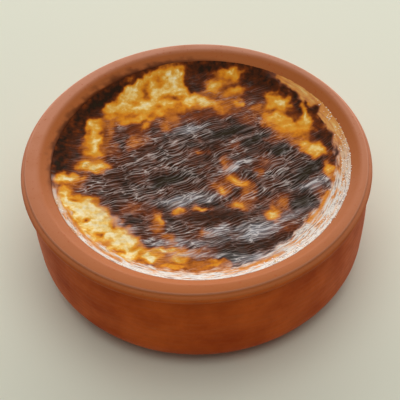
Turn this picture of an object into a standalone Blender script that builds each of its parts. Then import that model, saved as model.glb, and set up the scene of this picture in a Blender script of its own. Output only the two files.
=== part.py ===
"""Baked rice pudding in the round clay dish that it was baked in.

Metres, +Z up. The origin is the middle of the dish's flat base, and +Y is the far side of the dish.
The dish is a turned shape. The pudding fills it from the floor to a skin that dips in the middle, climbs the
wall all round, and is raised by broad swells, folds of dried milk skin and low blisters.
"""

import math
import random

import bpy

# The dish, outside
DISH_DIAMETER = 0.125  # across the widest line of the rim
DISH_HEIGHT = 0.044
CREST_RADIUS = 0.0610  # the rim's highest circle
CREST_ROUNDING = 0.0004
BAND_HEIGHT = 0.0043  # from the crest down to the lower edge of the rim band
BEAD_TOP_DROP = 0.0011  # from the crest down to the top of the band's rounded bead
BEAD_INSET = 0.0012  # from the widest line in to the middle of the bead
BEAD_STEPS = 5
GROOVE_DEPTH = 0.0006  # the thrown groove under the band
GROOVE_HEIGHT = 0.0012
BODY_TOP_RADIUS = 0.0606
BODY_FOOT_RADIUS = 0.0597
BODY_BULGE = 0.0005  # how far the wall swells past a straight line
BODY_STEPS = 5
FOOT_ROUNDING = 0.0125  # height of the turn from the wall to the base
FOOT_STEPS = 7
BASE_RADIUS = 0.0460
BODY_SHIFT = (0.0006, 0.0)  # the body under the rim band is this far off the rim's centre

# The dish, inside
LIP_RADIUS = 0.0575  # where the rim's top ends and the bevel starts
LIP_DROP = 0.0003
LIP_STEPS = 3
BEVEL_TURN = 32.0  # degrees below level
BEVEL_CORNER_ROUNDING = 0.0025
MOUTH_RADIUS = 0.0528  # the narrowest circle, at the foot of the bevel's corner
FLOOR_THICKNESS = 0.0070
INSIDE_FLOOR_RADIUS = 0.0415
INSIDE_FOOT_RADIUS = 0.0512  # where the wall meets the floor's turn
INSIDE_ROUNDING = 0.0090
INSIDE_SHIFT = (0.0012, 0.0007)  # the thrown inside is this far off the rim's centre

# The pudding
CLEARANCE = 0.0003  # between the pudding and the clay
EDGE_DROP = 0.0029  # from the crest down to where the skin meets the wall, on average
EDGE_TILT = 0.0005  # the skin clings this much higher on one side of the dish and lower on the other
EDGE_TILT_TURN = math.radians(30.0)  # direction of the high side, from +X
MIDDLE_DROP = 0.0056  # from the crest down to the skin's flat middle
MENISCUS_WIDTH = 0.0095  # how far in from the wall the skin climbs
MENISCUS_CURVE = 1.7  # 1 is a straight slope, more is a hollower one
SIDE_FIXED_DROP = 0.0065  # below this line the pudding's side is the same all round
SIDE_SPACING = 0.0010  # least height between that line and the next point of the side

# The skin's relief: waves are (count, height of each, lengths, turn of their crests from +X, its spread)
SWELLS = (6, 0.00009, (0.022, 0.045), 0.0, math.pi / 2)
FOLDS = (16, 0.00007, (0.0055, 0.0100), math.radians(27.0), math.radians(24.0))
FOLD_REACH = 0.044  # the folds fade out at this distance from the middle
BLISTER_COUNT = 36
BLISTER_RADII = (0.0024, 0.0055)
BLISTER_HEIGHTS = (0.00020, 0.00050)
BLISTER_RING = (0.022, 0.048)  # nearest and furthest from the middle
RELIEF_LIMIT = 0.00055  # nothing in the skin rises or sinks further than this
RELIEF_SEED = 7

# Fineness of the turned meshes
DISH_STEPS = 80
PUDDING_STEPS = 96
SKIN_RINGS = 25
SIDE_RINGS = 4
ARC_STEPS = 4
TOLERANCE = 0.000001  # points closer than this count as the same

OBJECT_NAME = "baked_rice_pudding"


def clear_scene():
    """Remove every object, so that a second run starts empty."""
    for item in list(bpy.data.objects):
        bpy.data.objects.remove(item, do_unlink=True)


def named_collection(name):
    """The scene's collection of this name, made if it isn't there."""
    found = bpy.data.collections.get(name)
    if found is None:
        found = bpy.data.collections.new(name)
    if name not in bpy.context.scene.collection.children:
        bpy.context.scene.collection.children.link(found)
    return found


def plain_material(name, colour, roughness):
    """A Principled material with one colour."""
    material = bpy.data.materials.new(name)
    material.use_nodes = True
    shader = material.node_tree.nodes["Principled BSDF"]
    shader.inputs["Base Color"].default_value = (*colour, 1.0)
    shader.inputs["Roughness"].default_value = roughness
    shader.inputs["Metallic"].default_value = 0.0
    return material


def arc(centre, radii, start, end, steps=ARC_STEPS):
    """Points of an elliptical arc in the (radius, height) plane, angles in degrees from +radius."""
    points = []
    for index in range(steps + 1):
        angle = math.radians(start + (end - start) * index / steps)
        points.append((centre[0] + radii[0] * math.cos(angle), centre[1] + radii[1] * math.sin(angle)))
    return points


def mix(a, b, share):
    """The value this share of the way from a to b."""
    return a + (b - a) * share


def inside_profile():
    """The dish's inside from the middle of its floor up to just short of the crest, as (radius, height)."""
    floor_turn_centre = (INSIDE_FLOOR_RADIUS, FLOOR_THICKNESS + INSIDE_ROUNDING)
    floor_turn = arc(floor_turn_centre, (INSIDE_FOOT_RADIUS - INSIDE_FLOOR_RADIUS, INSIDE_ROUNDING), -90, 0)
    lip_height = DISH_HEIGHT - LIP_DROP
    slope = math.radians(BEVEL_TURN)
    corner_radius = MOUTH_RADIUS + BEVEL_CORNER_ROUNDING
    bevel_width = LIP_RADIUS - (corner_radius - BEVEL_CORNER_ROUNDING * math.sin(slope))
    bevel_foot = lip_height - bevel_width * math.tan(slope)
    corner_height = bevel_foot - BEVEL_CORNER_ROUNDING * math.cos(slope)
    corner_radii = (BEVEL_CORNER_ROUNDING, BEVEL_CORNER_ROUNDING)
    corner = arc((corner_radius, corner_height), corner_radii, 180, 90 + BEVEL_TURN)
    lip = []
    for index in range(LIP_STEPS):
        share = index / LIP_STEPS
        radius = mix(LIP_RADIUS, CREST_RADIUS - CREST_ROUNDING, share)
        lip.append((radius, DISH_HEIGHT - LIP_DROP * (1 - share) ** 2))
    return [(0.0, FLOOR_THICKNESS)] + floor_turn + corner + lip


def outside_profile():
    """The dish's outside from the crest down to the middle of its base, as (radius, height)."""
    crest_centre = (CREST_RADIUS - CREST_ROUNDING, DISH_HEIGHT - CREST_ROUNDING)
    crest = arc(crest_centre, (CREST_ROUNDING, CREST_ROUNDING), 90, 0)
    bead_half_height = (BAND_HEIGHT - BEAD_TOP_DROP) / 2
    bead_centre = (DISH_DIAMETER / 2 - BEAD_INSET, DISH_HEIGHT - BEAD_TOP_DROP - bead_half_height)
    bead = arc(bead_centre, (BEAD_INSET, bead_half_height), 90, -60, BEAD_STEPS)
    groove_foot = DISH_HEIGHT - BAND_HEIGHT - GROOVE_HEIGHT
    groove_floor = (BODY_TOP_RADIUS - GROOVE_DEPTH, groove_foot + GROOVE_HEIGHT / 2)
    groove = [groove_floor, (BODY_TOP_RADIUS, groove_foot)]
    wall = []
    for index in range(1, BODY_STEPS):
        share = index / BODY_STEPS
        radius = mix(BODY_TOP_RADIUS, BODY_FOOT_RADIUS, share) + BODY_BULGE * math.sin(math.pi * share)
        wall.append((radius, mix(groove_foot, FOOT_ROUNDING, share)))
    foot_radii = (BODY_FOOT_RADIUS - BASE_RADIUS, FOOT_ROUNDING)
    foot = arc((BASE_RADIUS, FOOT_ROUNDING), foot_radii, 0, -90, FOOT_STEPS)
    return crest + bead + groove + wall + foot + [(0.0, 0.0)]


def offset_inwards(profile, distance):
    """The profile moved sideways by this distance, to the left of its running direction."""
    moved = []
    for index, (radius, height) in enumerate(profile):
        before = profile[max(index - 1, 0)]
        after = profile[min(index + 1, len(profile) - 1)]
        run = (after[0] - before[0], after[1] - before[1])
        length = math.hypot(*run)
        moved.append((radius - run[1] / length * distance, height + run[0] / length * distance))
    return moved


def radius_at(profile, height):
    """The profile's radius at this height, for a profile that climbs all the way."""
    for low, high in zip(profile, profile[1:]):
        if low[1] <= height <= high[1]:
            return mix(low[0], high[0], (height - low[1]) / max(high[1] - low[1], TOLERANCE))
    return profile[-1][0]


def turned(name, profile, steps, collection, material):
    """A turned body: the profile swept once round +Z."""
    mesh = bpy.data.meshes.new(name)
    points = [(radius, 0.0, height) for radius, height in profile]
    edges = [(index, index + 1) for index in range(len(points) - 1)]
    mesh.from_pydata(points, edges, [])
    body = bpy.data.objects.new(name, mesh)
    collection.objects.link(body)
    screw = body.modifiers.new("Turn", "SCREW")
    screw.axis = "Z"
    screw.angle = math.tau
    screw.steps = steps
    screw.render_steps = steps
    screw.use_merge_vertices = True
    screw.merge_threshold = 10 * TOLERANCE
    screw.use_smooth_shade = True
    mesh.materials.append(material)
    return body


def apply_modifiers(body):
    """Turn the object's evaluated shape into its own mesh."""
    graph = bpy.context.evaluated_depsgraph_get()
    old = body.data
    body.data = bpy.data.meshes.new_from_object(body.evaluated_get(graph))
    body.modifiers.clear()
    bpy.data.meshes.remove(old)
    body.data.name = body.name


def shift_points(body, profile, shift):
    """Move the vertices on these profile points off the rim's centre; the rim's top takes up the shift."""
    for vertex in body.data.vertices:
        reach = math.hypot(vertex.co.x, vertex.co.y)
        if all(math.dist(point, (reach, vertex.co.z)) > 10 * TOLERANCE for point in profile):
            continue
        share = 1.0
        if vertex.co.z > DISH_HEIGHT - BAND_HEIGHT:
            share = min((CREST_RADIUS - reach) / (CREST_RADIUS - LIP_RADIUS), 1.0)
        vertex.co.x += shift[0] * share
        vertex.co.y += shift[1] * share


def make_dish(collection):
    """The clay dish: thick wall, bevelled rim, thrown band and groove, and a flat base."""
    clay = plain_material("fired_clay", (0.40, 0.13, 0.055), 0.55)
    inside = inside_profile()
    outside = outside_profile()
    body = turned("bowl", inside + outside, DISH_STEPS, collection, clay)
    apply_modifiers(body)
    shift_points(body, [point for point in outside if point[1] < DISH_HEIGHT - BAND_HEIGHT], BODY_SHIFT)
    shift_points(body, inside, INSIDE_SHIFT)
    return body


def edge_height(turn):
    """Height at which the skin meets the wall in this direction."""
    return DISH_HEIGHT - EDGE_DROP + EDGE_TILT * math.cos(turn - EDGE_TILT_TURN)


def meniscus(reach, edge_radius):
    """How far the skin has climbed at this radius: 0 in the middle and 1 at the wall."""
    climb = (reach - (edge_radius - MENISCUS_WIDTH)) / MENISCUS_WIDTH
    return max(climb, 0.0) ** MENISCUS_CURVE


def make_waves(draw, kind):
    """Waves across the skin, as (waves per metre in x, in y, phase, height)."""
    count, height, lengths, crest_turn, spread = kind
    waves = []
    for _ in range(count):
        turn = crest_turn + math.pi / 2 + draw.uniform(-spread, spread)
        length = draw.uniform(*lengths)
        waves.append((math.cos(turn) / length, math.sin(turn) / length, draw.uniform(0.0, math.tau), height))
    return waves


def wave_height(x, y, waves):
    """The waves' heights at this place, added up."""
    return sum(rise * math.sin(math.tau * (in_x * x + in_y * y) + start) for in_x, in_y, start, rise in waves)


def make_blisters(draw):
    """Low domes round the flat middle: place, radius and height of each."""
    blisters = []
    for _ in range(BLISTER_COUNT):
        turn = draw.uniform(0.0, math.tau)
        reach = draw.uniform(*BLISTER_RING)
        size = draw.uniform(*BLISTER_RADII)
        rise = draw.uniform(*BLISTER_HEIGHTS)
        blisters.append((reach * math.cos(turn), reach * math.sin(turn), size, rise))
    return blisters


def relief(x, y, swells, folds, blisters):
    """Height of the swells, folds and blisters over the smooth skin."""
    fold_share = max(1.0 - (math.hypot(x, y) / FOLD_REACH) ** 4, 0.0)
    height = wave_height(x, y, swells) + fold_share * wave_height(x, y, folds)
    for centre_x, centre_y, size, rise in blisters:
        nearness = 1.0 - ((x - centre_x) ** 2 + (y - centre_y) ** 2) / size**2
        height += rise * max(nearness, 0.0) ** 1.5
    return RELIEF_LIMIT * math.tanh(height / RELIEF_LIMIT)


def pudding_profile(side):
    """A smooth pudding: skin from the middle out, the side down, and the underside."""
    edge = DISH_HEIGHT - EDGE_DROP
    edge_radius = radius_at(side, edge)
    skin = []
    for ring in range(SKIN_RINGS + 1):
        reach = edge_radius * (ring / SKIN_RINGS)
        skin.append((reach, mix(DISH_HEIGHT - MIDDLE_DROP, edge, meniscus(reach, edge_radius))))
    fixed = DISH_HEIGHT - SIDE_FIXED_DROP
    upper_side = []
    for ring in range(1, SIDE_RINGS + 1):
        height = mix(edge, fixed, ring / SIDE_RINGS)
        upper_side.append((radius_at(side, height), height))
    lower_side = [point for point in reversed(side) if point[1] < fixed - SIDE_SPACING and point[0] > 0]
    underside = [(0.0, FLOOR_THICKNESS + CLEARANCE)]
    return skin + upper_side + lower_side + underside


def shape_pudding(body, side):
    """Tilt the skin's edge, bend the upper side after it, and raise the relief."""
    draw = random.Random(RELIEF_SEED)
    swells = make_waves(draw, SWELLS)
    folds = make_waves(draw, FOLDS)
    blisters = make_blisters(draw)
    level_edge = DISH_HEIGHT - EDGE_DROP
    level_radius = radius_at(side, level_edge)
    fixed = DISH_HEIGHT - SIDE_FIXED_DROP
    side_heights = [mix(level_edge, fixed, ring / SIDE_RINGS) for ring in range(SIDE_RINGS + 1)]
    for vertex in body.data.vertices:
        x, y, z = vertex.co
        reach = math.hypot(x, y)
        turn = math.atan2(y, x)
        edge = edge_height(turn)
        on_side = [height for height in side_heights[1:] if abs(z - height) < TOLERANCE]
        if on_side and abs(reach - radius_at(side, on_side[0])) < 10 * TOLERANCE:
            share = (level_edge - on_side[0]) / (level_edge - fixed)
            new_height = mix(edge, fixed, share)
            new_reach = radius_at(side, new_height)
            vertex.co = (new_reach * math.cos(turn), new_reach * math.sin(turn), new_height)
        elif z > DISH_HEIGHT - MIDDLE_DROP - TOLERANCE:
            edge_radius = radius_at(side, edge)
            new_reach = edge_radius * reach / level_radius
            x = new_reach * math.cos(turn)
            y = new_reach * math.sin(turn)
            climb = meniscus(new_reach, edge_radius)
            height = mix(DISH_HEIGHT - MIDDLE_DROP, edge, climb)
            vertex.co = (x, y, height + relief(x, y, swells, folds, blisters) * (1.0 - min(climb, 1.0)))


def make_pudding(collection):
    """The set rice pudding, one solid from the dish's floor to its browned skin."""
    browned = plain_material("browned_milk_skin", (0.23, 0.09, 0.03), 0.35)
    side = offset_inwards(inside_profile(), CLEARANCE)
    body = turned("pudding", pudding_profile(side), PUDDING_STEPS, collection, browned)
    apply_modifiers(body)
    shape_pudding(body, side)
    for vertex in body.data.vertices:
        vertex.co.x += INSIDE_SHIFT[0]
        vertex.co.y += INSIDE_SHIFT[1]
    return body


def main():
    """Model the dish and the pudding in it."""
    clear_scene()
    collection = named_collection(OBJECT_NAME)
    make_dish(collection)
    make_pudding(collection)


if __name__ == "__main__":
    main()
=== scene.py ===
"""Looks of a baked rice pudding in the round clay dish that it was baked in.

Metres, +Z up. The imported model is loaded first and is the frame: the dish stands on z = 0 with its middle
at the origin, and +Y is its far side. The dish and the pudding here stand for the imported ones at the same
sizes, with a finer mesh, true finishes, and the folds, blisters and burns of the milk skin.
"""

import math
import random

import bpy
import numpy as np
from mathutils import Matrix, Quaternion, Vector


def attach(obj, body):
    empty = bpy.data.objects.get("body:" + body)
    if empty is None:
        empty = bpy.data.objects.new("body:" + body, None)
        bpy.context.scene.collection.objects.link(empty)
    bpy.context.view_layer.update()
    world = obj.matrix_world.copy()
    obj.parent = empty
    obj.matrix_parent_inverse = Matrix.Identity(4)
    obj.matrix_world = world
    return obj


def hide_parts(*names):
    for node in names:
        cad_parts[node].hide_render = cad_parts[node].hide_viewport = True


bl_info = {
    "name": "Baked rice pudding",
    "version": (1, 0, 0),
    "blender": (4, 5, 0),
    "location": "3D Viewport > Sidebar > Pudding",
    "description": "Oven-baked rice pudding with a burnt milk skin, in a wheel-thrown clay dish",
    "category": "Object",
}

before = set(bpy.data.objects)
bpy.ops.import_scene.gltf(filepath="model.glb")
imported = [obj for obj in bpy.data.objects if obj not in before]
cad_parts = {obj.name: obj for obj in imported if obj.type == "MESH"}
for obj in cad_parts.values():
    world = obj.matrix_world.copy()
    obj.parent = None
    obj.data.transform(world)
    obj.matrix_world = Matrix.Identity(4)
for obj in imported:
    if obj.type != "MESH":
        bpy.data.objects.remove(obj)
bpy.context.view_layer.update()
MM = 0.001

# The dish's profile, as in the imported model
DISH_DIAMETER = 125.0 * MM
DISH_HEIGHT = 44.0 * MM
CREST_RADIUS = 61.0 * MM
CREST_ROUNDING = 0.4 * MM
BAND_HEIGHT = 4.3 * MM
BEAD_TOP_DROP = 1.1 * MM
BEAD_INSET = 1.2 * MM
GROOVE_DEPTH = 0.6 * MM
GROOVE_HEIGHT = 1.2 * MM
BODY_TOP_RADIUS = 60.6 * MM
BODY_FOOT_RADIUS = 59.7 * MM
BODY_BULGE = 0.5 * MM
FOOT_ROUNDING = 12.5 * MM
BASE_RADIUS = 46.0 * MM
BODY_SHIFT = (0.6 * MM, 0.0)
LIP_RADIUS = 57.5 * MM
LIP_DROP = 0.3 * MM
BEVEL_TURN = 32.0
BEVEL_CORNER_ROUNDING = 2.5 * MM
MOUTH_RADIUS = 52.8 * MM
FLOOR_THICKNESS = 7.0 * MM
INSIDE_FLOOR_RADIUS = 41.5 * MM
INSIDE_FOOT_RADIUS = 51.2 * MM
INSIDE_ROUNDING = 9.0 * MM
INSIDE_SHIFT = (1.2 * MM, 0.7 * MM)

# How the dish's finish is spread: points closer than the seam's gap are one, and directions are in degrees
SEAM_GAP = 0.02 * MM
PLAIN_FOOT_HEIGHT = 0.5 * MM
FOOT_FADE = 4.0 * MM
BAND_FADE = 3.0 * MM
SHOULDER_DEPTH = 0.6 * MM
LIP_FADE = 1.5 * MM
SCORCH_TURN = 140.0

# The pudding's form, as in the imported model
CLEARANCE = 0.3 * MM
SIDE_OVERLAP = 0.02 * MM
EDGE_UNEVENNESS = 0.25 * MM
EDGE_DROP = 2.9 * MM
EDGE_TILT = 0.5 * MM
EDGE_TILT_TURN = math.radians(30.0)
MIDDLE_DROP = 5.6 * MM
MENISCUS_WIDTH = 9.5 * MM
MENISCUS_CURVE = 1.7
SIDE_FIXED_DROP = 6.5 * MM
SWELLS = (6, 0.09 * MM, (22.0 * MM, 45.0 * MM), 0.0, math.pi / 2)
FOLDS = (16, 0.07 * MM, (5.5 * MM, 10.0 * MM), math.radians(27.0), math.radians(24.0))
FOLD_REACH = 44.0 * MM
BLISTER_COUNT = 36
BLISTER_RADII = (2.4 * MM, 5.5 * MM)
BLISTER_HEIGHTS = (0.20 * MM, 0.50 * MM)
BLISTER_RING = (22.0 * MM, 48.0 * MM)
RELIEF_LIMIT = 0.55 * MM
RELIEF_SEED = 7
# How much of that relief is left under the fine wrinkles
RELIEF_SHARE = 0.4

# The runs of wrinkles in the skin: turn in degrees, and how many times longer than wide the wrinkles are
RUN = (31.0, 6.0)
CROSS_RUN = (12.0, 6.2)
NET_MIDDLE = 0.35
GRAIN_HEIGHT = 0.06 * MM

# How far each part of the skin is baked, from 0, set milk, to 1, charred
CREAM = 0.0
PALE = 0.09
GOLD = 0.17
AMBER = 0.32
ORANGE = 0.45
RUST = 0.60
BROWN = 0.74
DARK = 0.87
CHAR = 1.00
# The hidden side and underside
HIDDEN = 0.12

# Large parts of the skin, in millimetres from the dish's middle: baked so far, width of the change, corners
FIELDS = (
    (RUST, 1.6, (
        (-2, 40), (3, 38), (9, 32), (8, 28), (14, 27), (20, 29), (24, 34), (22, 42), (16, 46), (8, 49),
        (3, 46))),
    (GOLD, 1.4, (
        (-33.5, 36), (-33, 27.5), (-25, 24.8), (-17, 26), (-11, 28.2), (-6, 29.5), (1, 32), (0, 39),
        (-1, 46), (-2, 54), (-6, 55), (-13, 53), (-20, 49.5), (-27.5, 43.5))),
    (ORANGE, 1.5, (
        (-35, 29), (-28, 29), (-29, 22), (-31, 14), (-34, 9), (-38, 6), (-41, 9), (-41, 20), (-40, 28))),
    (GOLD, 1.2, (
        (-40, 28), (-35, 28), (-33.5, 24), (-34, 17), (-35, 11), (-39, 9.5), (-40, 18))),
    (GOLD - 0.05, 1.5, (
        (-51, -10), (-45, -9.5), (-38, -10), (-34, -15), (-30, -21), (-25, -26), (-21, -31), (-18.5, -37),
        (-20, -43), (-26, -42.5), (-33, -38.5), (-40, -31), (-46, -21))),
    (AMBER, 1.8, (
        (25.5, 38), (30, 40), (36, 36), (38, 30), (39.5, 26), (43.5, 27), (44, 20), (41.5, 14.5),
        (35, 15), (29.5, 18), (26.5, 24), (25, 31))),
)

# Spots on the skin, in millimetres: x, y, length, width, turn in degrees, for each stage of baking
SPOTS = {
    BROWN: (
        (23, 37, 7, 15, 10), (-17.5, 51, 8, 2, 28), (1, 46, 8, 13, 0), (-44, 20, 5, 22, -20),
        (36, 27, 6, 5, 0), (42.8, 15.6, 3.4, 4.4, 0), (-27, 9, 8, 5, 20), (46.8, 20, 2.4, 8, 15),
    ),
    RUST + 0.05: (
        (4, 28, 26, 6, 5), (-21, 22, 12, 6, 20),
    ),
    RUST: (
        (-33, 21, 3, 14, 0), (-15, -24.5, 6, 11, 5), (-23, -17, 9, 6, 10), (2.5, -30.5, 9, 4, 10),
        (1.5, 8.5, 5, 4, 0), (14, 11.5, 5, 4, 0), (25, 3.5, 4, 6, 10), (-20, 17, 8, 8, 0),
        (-9, 24.5, 9, 6, 0), (20, 25, 8, 6, 20), (-42, -6, 7, 3, 0), (17, -16, 9, 7, 0),
        (28, -19, 8, 10, 20), (11, 2, 6, 7, 10), (0, -38.5, 12, 4, 5), (-11, -34.5, 9, 4, 10),
        (-30, 12, 5, 7, 0), (30, -28, 7, 4, 20), (9, -8, 10, 8, 20), (43, -12, 4, 8, 10),
    ),
    ORANGE: (
        (-18, 23.5, 4.5, 3.5, 0), (-11, 22.5, 3, 3, 0), (-8.5, 26.5, 5, 6, 0), (-22.5, 15.5, 3.5, 5.5, 0),
        (1.5, 8.5, 2.4, 2, 0), (10.5, 2.5, 3, 5, 0), (22.5, -2, 3.5, 3.5, 0), (15, -6, 9, 4, -35),
        (8.5, -10.5, 4.5, 5, 10), (18, -10.5, 4, 3, 20), (13.5, -17.5, 5.5, 5, 0), (26, -22.5, 6, 7, 10),
        (30, -16.5, 3, 5, 0), (-6.6, -19.8, 4.8, 4.4, 0), (0.8, -18.6, 6.4, 3.4, 0),
        (-14, -24.5, 3.6, 8, 8), (-4, -38, 16, 4, -8), (-10.5, -31.5, 4, 4, 0), (2.5, -29.5, 3, 2, 0),
        (10, 31.5, 7, 6, 0), (16, 33.5, 5, 4, 0), (12, 45.5, 12, 4, 15), (-46, -2, 12, 6, 5),
        (-37, 4.5, 14, 7, -10), (-9, -41.5, 15, 5.5, 0), (5, -43, 8, 5, 0), (43.5, 8, 10, 8, 0),
        (47.5, -2.5, 4.5, 9, 0), (45, -17, 4, 6, -20), (40.5, -25.5, 4, 7, -35), (-48, -8, 4, 6, 0),
        (-16, -39, 8, 6, 0), (-7, 31, 6, 4, 0), (-15.5, 29.5, 3, 3, 0), (-24, 28.5, 5, 3, 0),
        (23.5, 30, 5, 5, 0), (33, 16, 12, 3.5, 10), (36, 12, 5, 4, 0), (43.2, 20.5, 5.5, 6, 0),
    ),
    GOLD: (
        (1.5, 36, 15, 5.5, -25), (7.5, 42.5, 8, 5, 45), (15.5, 39.8, 8, 3.4, 10), (17.5, 33.5, 2.2, 3, 0),
        (-36, 3.6, 11, 4, -15), (-46, -1.6, 10, 4.2, 3), (-47.5, -9, 5, 6, -20), (-17, -40.5, 6, 5.5, 0),
        (-7.5, -41, 5, 3, 0), (4.8, -43, 4.5, 3, 10), (33, 32, 10, 6, -20), (31, 24, 9, 6, 10),
        (35, 19.5, 7, 4, 0), (41, 26, 3.6, 14, 4), (43.6, 8.4, 8.5, 6, 5), (39.5, 11, 3, 5, 0),
        (47.5, -2.5, 3, 5.5, 0), (40.5, -25, 2.6, 4, -30), (26, -23, 4, 5, 10), (15, 48.3, 10, 4, -10),
        (14.5, -6.2, 6, 1.8, -35), (30.5, 37, 4, 3, 0), (-18, 23.6, 2.6, 2.2, 0),
        (-6.6, -19.6, 2.8, 2.6, 0), (0.8, -18.5, 4, 2, 0), (-13.8, -22.8, 2.4, 3.4, 0),
        (-12.5, -36.8, 9, 2.8, -5), (-9.5, 36, 20, 5, 8), (8.5, -10.5, 2, 2, 0), (-47, -16, 5, 9, -25),
        (13.4, -17.4, 2.4, 2.2, 0),
    ),
    PALE: (
        (-12.5, -36.8, 6, 1.4, -5), (-12, 43, 4, 8, 0), (-8.5, 44.5, 3, 10, 0), (-5.5, 46.5, 3.5, 9, 0),
        (-24, 41.5, 5, 5, 30), (-25.5, 35, 7, 4, 20), (-5, 51, 4, 3, 0), (1.5, 36, 9, 2.6, -25),
        (-37.5, 24, 3, 6, 0), (-36.5, 16, 2.6, 9, 0), (-34, 3, 5, 2, -5), (-40, 5.2, 2.4, 2.4, 0),
        (33.5, 32.5, 6, 2.6, -15), (41, 25, 2.2, 10, 4), (44, 8.2, 5.5, 3.2, 5), (30, 25, 4, 2.5, 0),
        (7.6, 42.8, 4.5, 2.4, 45), (26, -23, 2, 2.6, 10), (-16, 36, 5, 3, 0), (-1.5, 38, 3, 2, 0),
        (-19.5, 33.5, 5, 3, 10), (-7, 38.5, 6, 3, -10),
    ),
    PALE - 0.06: (
        (-46, -1.5, 7, 2, 3), (-41, -17, 5, 6, 0), (-37, -16.5, 3, 5, 0), (-33.5, -20, 4, 5, 0),
        (-36, -25, 5, 4, 0), (-31, -28, 6, 5, 0), (-25, -32, 6, 5, 20), (-24, -38, 5, 4, 0),
        (-45, -12.5, 5, 3.5, 0), (-17, -40.5, 3.5, 3, 0),
    ),
    ORANGE - 0.03: (
        (-12.5, 46.5, 3, 4.4, 0), (-21.5, 36, 3, 2.4, 0), (-28, 30.5, 3, 2, 0), (-14, 33, 3, 2.4, 0),
        (-9.5, 31.5, 3, 2.4, 0), (-6, 34, 3, 2.4, 0), (-39, 21.5, 2, 5, 0), (-43, -12, 3, 2, 0),
        (-36.5, -13, 3, 2, 0), (-17, 45.5, 2.4, 3, 0), (-29, 37, 3, 3, 0), (-33, -33, 4, 3, 0),
        (-21.5, -34.5, 4, 3, 0), (-23.5, 46.5, 3, 2, 30), (-22, 29.5, 2.4, 2, 0),
    ),
    ORANGE + 0.10: (
        (-7.5, 38, 7, 2.8, -5), (-39.5, 9, 4, 2.6, 0), (-39.2, -21.5, 2.6, 2.2, 0),
        (-35, -28.5, 2.6, 2.2, 0), (-28.2, -37.2, 3, 2.4, 0), (-29, -24.5, 3, 2, -40),
        (31, 37.6, 3, 2.4, 0), (29, 28.5, 4, 2, 0), (37.5, 23.5, 2.4, 4, 0), (-17.6, 41, 3.0, 5.6, 0),
        (-21, -41.5, 4, 2, 0), (6, 38.5, 5, 2, -20), (12, 36, 3, 3, 0),
    ),
    # The first of these dark spots lies on a smooth patch, so is partly painted shade
    DARK - 0.05: (
        (5, -22.5, 22, 5.4, 0), (-27, 0.5, 13, 7, 15),
    ),
    # The last of these spots lies on a smooth patch, so is partly painted shade
    DARK - 0.03: (
        (4, 52.3, 12, 3, 0), (22.5, 46, 8, 5, -20), (28.5, 41.5, 5, 3, -25), (34, 37.5, 4, 3, -45),
        (38.3, 30.5, 3.0, 10, 8), (44.2, 26, 3, 6, 20), (47.6, 11.5, 3.2, 12, 14),
        (-15.5, 52.5, 7, 2, 25), (0.8, 42.5, 5, 4, 0), (17, -36.8, 25, 6, 8),
    ),
    # Most char spots lie on the smooth patches and are partly painted shade of slopes that face away from
    # the light
    CHAR: (
        (39.4, -3.1, 13, 3.6, 44), (37, -17, 8, 4, 25), (12, 18.5, 13, 4.6, 15), (21, 14, 10, 3, 25),
        (-11, -4.5, 14, 4.2, 25), (30, 8, 7, 3, 20), (10, -40.5, 6, 3, 0),
    ),
}

# Streaks along the wall, in millimetres: baked so far, thickness, corners
STREAKS = (
    (BROWN, 7.0, ((-49, 8), (-46, 17), (-41.5, 27), (-36.5, 35), (-31, 41.5), (-25.5, 46.5))),
    (DARK + 0.02, 4.8, ((-50.5, 5), (-49, 13), (-45, 22), (-40.5, 30), (-35, 38), (-29.5, 43.5), (-22, 49))),
    (RUST, 3.0, ((44.5, 26), (48, 15), (49, 7), (50, 0))),
    (BROWN, 1.8, ((45.5, 26), (49, 16), (50, 7), (50.5, 1))),
    (ORANGE, 2.4, ((49.5, -5), (47, -16), (43.5, -24))),
    (ORANGE, 2.6, ((10, -48.5), (18, -46.5), (26, -42.5))),
    (AMBER, 3.4, ((33, 44), (41, 36.5), (47, 28), (51.5, 17), (53.8, 6), (54.3, -4))),
    (RUST, 2.0, ((-51, -8), (-47.5, -22), (-41, -33), (-32.5, -41), (-20, -47.5), (-6, -51))),
    (ORANGE, 1.6, ((-44, -27), (-37, -36), (-29, -42.5))),
    (ORANGE + 0.05, 3.0, ((-16, -45.6), (-6, -47.4), (4, -47.6), (9.5, -46.6))),
    (ORANGE + 0.03, 4.4, ((-14, -43), (-6, -44.2), (3, -44.6), (9, -43.8))),
    (AMBER - 0.05, 2.2, ((-12, -43.6), (-7, -44.4))),
    (AMBER - 0.02, 1.8, ((2, -44.2), (6, -43.6))),
)

# Where the dried skin shines grey, with a painted sheen; where it lies smooth, with partly painted shade;
# and where there is none: x, y, length, width, turn
SHINES = (
    (-3, -14.2, 18, 4.0, 5), (6, -28.8, 6, 3, 20), (17, -30, 20, 6, 8), (31, -23.5, 11, 2, 24),
    (-8, -34, 24, 2.0, -4), (0, -39.2, 20, 2.0, -6), (41, -9.5, 9, 3.4, 20), (-2.5, 20.8, 9, 2.6, 15),
    (20, -41.5, 16, 2.6, 15), (13.5, 1.5, 7, 1.8, 30), (-28.5, -23, 16, 1.8, -48),
)
SMOOTH_SHADED = (
    (12, 18.5, 13, 5, 15), (21, 14, 10, 3.4, 25), (-11, -4.5, 14, 4.6, 25), (39.4, -3.1, 13, 4.2, 44),
    (30, 8, 7, 3.4, 20), (5, -22.5, 21, 6, 0), (17, -36.8, 25, 5.6, 8), (37, -17, 8, 5, 25),
)
BARES = (
    (22, 42, 32, 15, -15), (42, 20, 12, 28, 10), (-41, 27, 48, 13, 58), (2, 29, 30, 6, 5),
    (-21, 22, 16, 8, 20), (0, 45, 10, 16, 0), (-2, -44.5, 30, 6, 0), (-45, 10, 9, 18, -10),
)
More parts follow.
